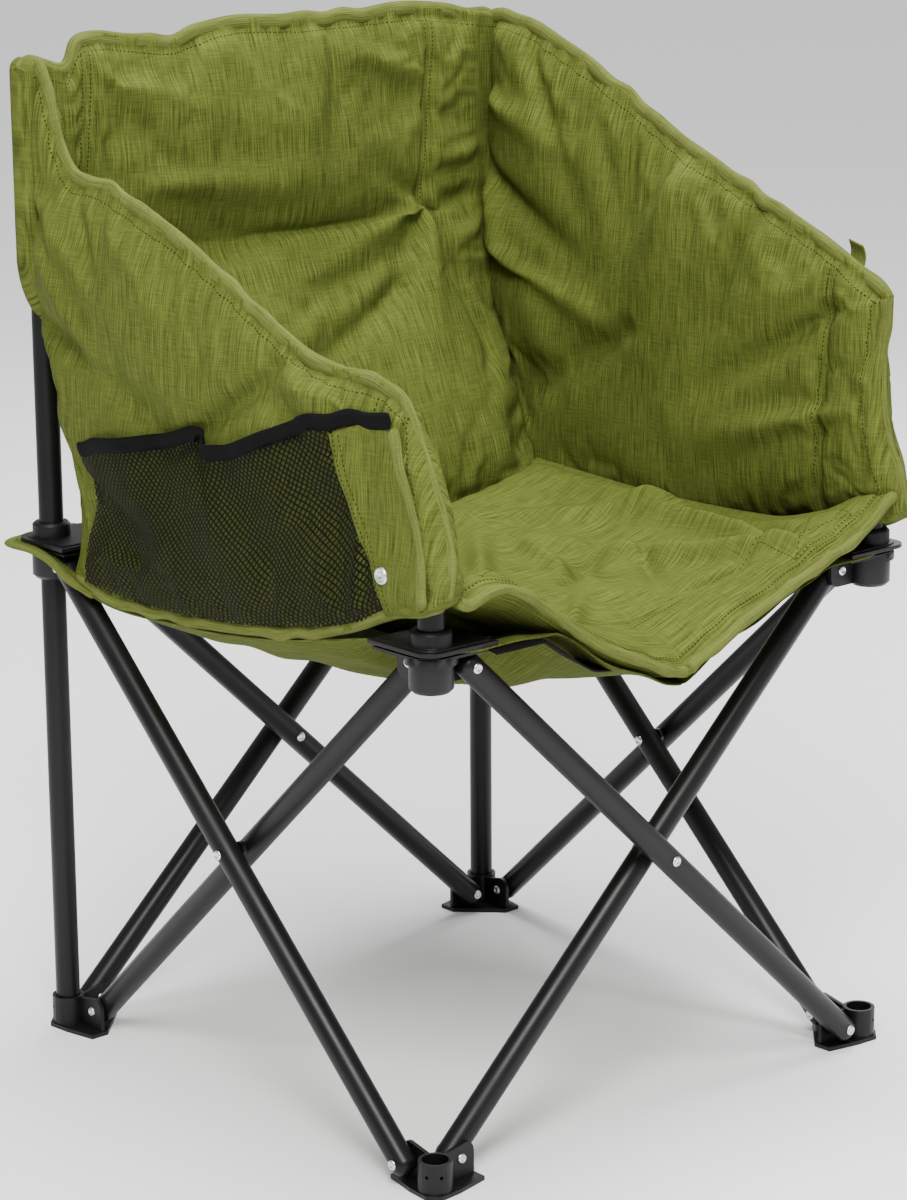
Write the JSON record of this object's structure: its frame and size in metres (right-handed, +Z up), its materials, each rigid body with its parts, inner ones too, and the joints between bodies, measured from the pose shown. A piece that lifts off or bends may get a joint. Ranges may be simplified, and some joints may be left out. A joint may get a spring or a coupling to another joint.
{
  "type": "folding camp chair",
  "caption": "Folding camp chair: a padded tub seat with walls and a mesh pocket, slung on a frame of crossing bars that closes into a bundle.",
  "frame": {"origin": "on the floor, at the centre of the box round the chair, midway between the four feet", "axes": "+Z up; the chair faces -Y; +X is to the right as seen from in front"},
  "size_m": [0.534, 0.534, 0.817],
  "materials": {
    "black_plastic": "moulded nylon, satin black with a fine grain",
    "black_enamel": "satin black powder coat on steel tube",
    "zinc": "zinc plated steel",
    "olive_cloth": "olive green melange polyester, quilted over wadding",
    "olive_sling": "olive green melange polyester, single heavy layer",
    "black_mesh": "black open mesh with woven binding",
    "black_webbing": "black woven webbing"
  },
  "bodies": {
    "foot_rear_left": {"foot_rear_left": "black_plastic", "rivet_left_inner_bottom": "zinc", "rivet_rear_outer_bottom": "zinc", "post_rear_left": "black_enamel", "back_panel": "olive_cloth"},
    "bar_left_inner": {"bar_left_inner": "black_enamel", "bush_left": "black_plastic", "rivet_left_middle": "zinc"},
    "bar_left_outer": {"bar_left_outer": "black_enamel"},
    "hub_rear_left": {"hub_rear_left": "black_plastic", "hub_cap_rear_left": "black_plastic", "rivet_left_outer_top": "zinc", "rivet_rear_inner_top": "zinc"},
    "foot_front_left": {"foot_front_left": "black_plastic", "rivet_front_inner_bottom": "zinc", "rivet_left_outer_bottom": "zinc"},
    "hub_front_left": {"hub_front_left": "black_plastic", "hub_cap_front_left": "black_plastic", "rivet_front_outer_top": "zinc", "rivet_left_inner_top": "zinc", "arm_post_left": "black_enamel", "wall_left": "olive_cloth", "snap_left": "zinc", "mesh_pocket": "black_mesh", "front_strap": "black_webbing"},
    "bar_front_inner": {"bar_front_inner": "black_enamel", "bush_front": "black_plastic", "rivet_front_middle": "zinc"},
    "bar_front_outer": {"bar_front_outer": "black_enamel"},
    "foot_front_right": {"foot_front_right": "black_plastic", "rivet_right_inner_bottom": "zinc", "rivet_front_outer_bottom": "zinc"},
    "hub_front_right": {"hub_front_right": "black_plastic", "hub_cap_front_right": "black_plastic", "rivet_right_outer_top": "zinc", "rivet_front_inner_top": "zinc", "arm_post_right": "black_enamel", "wall_right": "olive_cloth", "snap_right": "zinc"},
    "bar_rear_outer": {"bar_rear_outer": "black_enamel"},
    "bar_rear_inner": {"bar_rear_inner": "black_enamel", "bush_rear": "black_plastic", "rivet_rear_middle": "zinc"},
    "hub_rear_right": {"hub_rear_right": "black_plastic", "hub_cap_rear_right": "black_plastic", "rivet_rear_outer_top": "zinc", "rivet_right_inner_top": "zinc"},
    "foot_rear_right": {"foot_rear_right": "black_plastic", "rivet_rear_inner_bottom": "zinc", "rivet_right_outer_bottom": "zinc", "post_rear_right": "black_enamel"},
    "bar_right_outer": {"bar_right_outer": "black_enamel"},
    "bar_right_inner": {"bar_right_inner": "black_enamel", "bush_right": "black_plastic", "rivet_right_middle": "zinc"},
    "seat_left": {"sling_left": "olive_sling", "seat_pad_left": "olive_cloth"},
    "seat_right": {"sling_right": "olive_sling", "seat_pad_right": "olive_cloth"}
  },
  "joints": [
    {"name": "left_fold", "type": "hinge", "parent": "foot_rear_left", "child": "bar_left_inner", "pos_m": [-0.228, 0.204, 0.018], "axis": [-1, 0, 0], "range_deg": [0, 35], "deforming": ["sling_left", "sling_right", "seat_pad_left", "seat_pad_right", "wall_left", "wall_right", "back_panel", "mesh_pocket", "front_strap"]},
    {"name": "left_crossing", "type": "hinge", "parent": "bar_left_inner", "child": "bar_left_outer", "pos_m": [-0.228, 0, 0.21], "axis": [1, 0, 0], "range_deg": [0, 70]},
    {"name": "left_rear_hub_pivot", "type": "hinge", "parent": "bar_left_outer", "child": "hub_rear_left", "pos_m": [-0.228, 0.204, 0.402], "axis": [-1, 0, 0], "range_deg": [0, 35]},
    {"name": "left_front_foot_pivot", "type": "hinge", "parent": "bar_left_outer", "child": "foot_front_left", "pos_m": [-0.228, -0.204, 0.018], "axis": [-1, 0, 0], "range_deg": [0, 35]},
    {"name": "left_front_hub_pivot", "type": "hinge", "parent": "bar_left_inner", "child": "hub_front_left", "pos_m": [-0.228, -0.204, 0.402], "axis": [1, 0, 0], "range_deg": [0, 35]},
    {"name": "front_fold", "type": "hinge", "parent": "foot_front_left", "child": "bar_front_inner", "pos_m": [-0.204, -0.228, 0.018], "axis": [0, -1, 0], "range_deg": [0, 35]},
    {"name": "front_crossing", "type": "hinge", "parent": "bar_front_inner", "child": "bar_front_outer", "pos_m": [0, -0.228, 0.21], "axis": [0, 1, 0], "range_deg": [0, 70]},
    {"name": "front_right_foot_pivot", "type": "hinge", "parent": "bar_front_outer", "child": "foot_front_right", "pos_m": [0.204, -0.228, 0.018], "axis": [0, -1, 0], "range_deg": [0, 35]},
    {"name": "front_right_hub_pivot", "type": "hinge", "parent": "bar_front_inner", "child": "hub_front_right", "pos_m": [0.204, -0.228, 0.402], "axis": [0, 1, 0], "range_deg": [0, 35]},
    {"name": "rear_fold", "type": "hinge", "parent": "foot_rear_left", "child": "bar_rear_outer", "pos_m": [-0.204, 0.228, 0.018], "axis": [0, -1, 0], "range_deg": [0, 35]},
    {"name": "rear_crossing", "type": "hinge", "parent": "bar_rear_outer", "child": "bar_rear_inner", "pos_m": [0, 0.228, 0.21], "axis": [0, 1, 0], "range_deg": [0, 70]},
    {"name": "rear_right_hub_pivot", "type": "hinge", "parent": "bar_rear_outer", "child": "hub_rear_right", "pos_m": [0.204, 0.228, 0.402], "axis": [0, 1, 0], "range_deg": [0, 35]},
    {"name": "rear_right_foot_pivot", "type": "hinge", "parent": "bar_rear_inner", "child": "foot_rear_right", "pos_m": [0.204, 0.228, 0.018], "axis": [0, -1, 0], "range_deg": [0, 35]},
    {"name": "right_fold", "type": "hinge", "parent": "foot_rear_right", "child": "bar_right_outer", "pos_m": [0.228, 0.204, 0.018], "axis": [-1, 0, 0], "range_deg": [0, 35]},
    {"name": "right_crossing", "type": "hinge", "parent": "bar_right_outer", "child": "bar_right_inner", "pos_m": [0.228, 0, 0.21], "axis": [1, 0, 0], "range_deg": [0, 70]},
    {"name": "seat_left_fold", "type": "hinge", "parent": "hub_front_left", "child": "seat_left", "pos_m": [-0.2, 0, 0.4166], "axis": [0, 1, 0], "range_deg": [0, 57.75]},
    {"name": "seat_right_fold", "type": "hinge", "parent": "hub_front_right", "child": "seat_right", "pos_m": [0.2, 0, 0.4166], "axis": [0, -1, 0], "range_deg": [0, 57.75]}
  ],
  "couplings": [
    {"joint": "left_crossing", "follows": "left_fold", "ratio": 2},
    {"joint": "left_rear_hub_pivot", "follows": "left_fold", "ratio": 1},
    {"joint": "left_front_foot_pivot", "follows": "left_fold", "ratio": 1},
    {"joint": "left_front_hub_pivot", "follows": "left_fold", "ratio": 1},
    {"joint": "front_fold", "follows": "left_fold", "ratio": 1},
    {"joint": "front_crossing", "follows": "left_fold", "ratio": 2},
    {"joint": "front_right_foot_pivot", "follows": "left_fold", "ratio": 1},
    {"joint": "front_right_hub_pivot", "follows": "left_fold", "ratio": 1},
    {"joint": "rear_fold", "follows": "left_fold", "ratio": 1},
    {"joint": "rear_crossing", "follows": "left_fold", "ratio": 2},
    {"joint": "rear_right_hub_pivot", "follows": "left_fold", "ratio": 1},
    {"joint": "rear_right_foot_pivot", "follows": "left_fold", "ratio": 1},
    {"joint": "right_fold", "follows": "left_fold", "ratio": 1},
    {"joint": "right_crossing", "follows": "left_fold", "ratio": 2},
    {"joint": "seat_left_fold", "follows": "left_fold", "ratio": 1.65},
    {"joint": "seat_right_fold", "follows": "left_fold", "ratio": 1.65}
  ]
}
